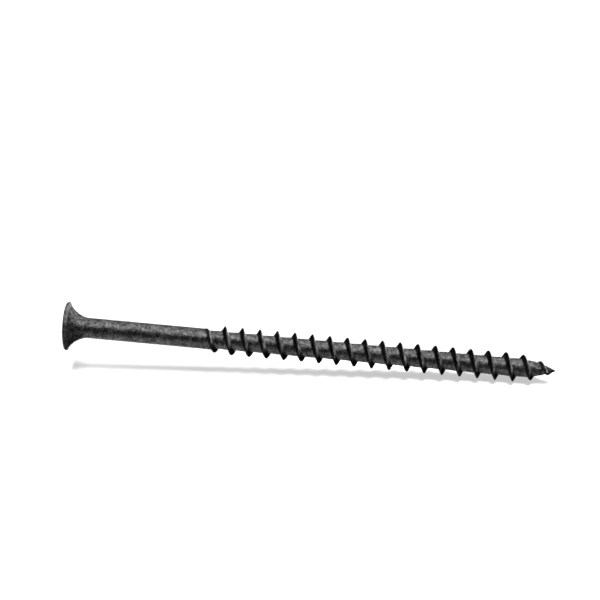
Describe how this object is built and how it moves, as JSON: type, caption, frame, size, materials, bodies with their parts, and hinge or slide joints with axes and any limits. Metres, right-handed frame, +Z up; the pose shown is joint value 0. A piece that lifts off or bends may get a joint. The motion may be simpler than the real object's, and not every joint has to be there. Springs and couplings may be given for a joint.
{
  "type": "wood screw",
  "caption": "Bugle-head wood screw with a cross recess, a plain shank and a coarse right-hand thread that runs out to a sharp point.",
  "frame": {"origin": "on the screw's axis at half its overall length, which is the centre of its bounding box", "axes": "+X along the screw's axis from the head face to the point, +Z up with the screw on its side, and +Y across; two arms of the cross recess lie along Y and two along Z"},
  "size_m": [0.0888, 0.0088, 0.0088],
  "materials": {
    "black_phosphate_steel": "matte"
  },
  "bodies": {
    "root": {"wood_screw": "black_phosphate_steel"}
  },
  "joints": []
}
